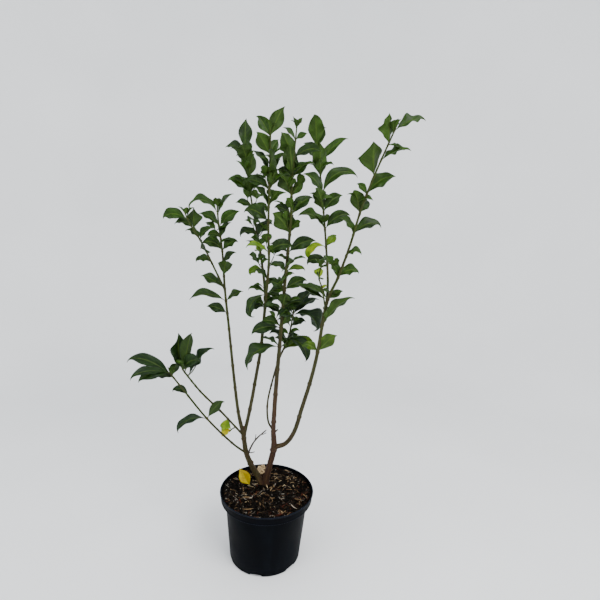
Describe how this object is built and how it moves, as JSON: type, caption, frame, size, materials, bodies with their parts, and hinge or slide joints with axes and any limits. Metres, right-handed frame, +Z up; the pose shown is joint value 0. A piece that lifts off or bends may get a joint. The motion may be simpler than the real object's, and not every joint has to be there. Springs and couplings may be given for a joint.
{
  "type": "potted spindle tree",
  "caption": "Young deciduous shrub with slender upright stems and pointed leaves in opposite pairs, growing in a round black nursery pot filled with bark.",
  "frame": {"origin": "middle of the pot's flat underside, on the ground it stands on", "axes": "+Z up along the pot's axis, -Y towards the viewer, +X to the viewer's right"},
  "size_m": [0.5576, 0.3599, 1.0543],
  "materials": {
    "pot": "satin moulded plastic",
    "substrate": "composted bark and peat",
    "brown_bark": "ridged grey-brown bark",
    "olive_bark": "striped olive bark",
    "green_bark": "smooth green bark",
    "dry_wood": "dry grey wood",
    "leaf": "satin leaf",
    "old_leaf": "dull older leaf",
    "yellow_leaf": "faded fallen leaf",
    "yellow_green_leaf": "young leaf"
  },
  "bodies": {
    "root": {"centre_spray": "leaf", "dead_twig": "dry_wood", "fallen_leaf": "yellow_leaf", "inner_right_spray": "old_leaf", "left_bough": "olive_bark", "left_spray": "leaf", "left_stem": "olive_bark", "low_left_lower_bough": "green_bark", "low_left_lower_spray": "old_leaf", "low_left_spur": "yellow_green_leaf", "low_left_upper_bough": "green_bark", "low_left_upper_spray": "old_leaf", "middle_bough": "olive_bark", "middle_spray": "leaf", "pot": "pot", "right_bough": "olive_bark", "right_bough_elbow": "olive_bark", "right_spray": "leaf", "right_stem": "brown_bark", "root_crown": "brown_bark", "substrate": "substrate", "thin_side_twig": "olive_bark"}
  },
  "joints": []
}
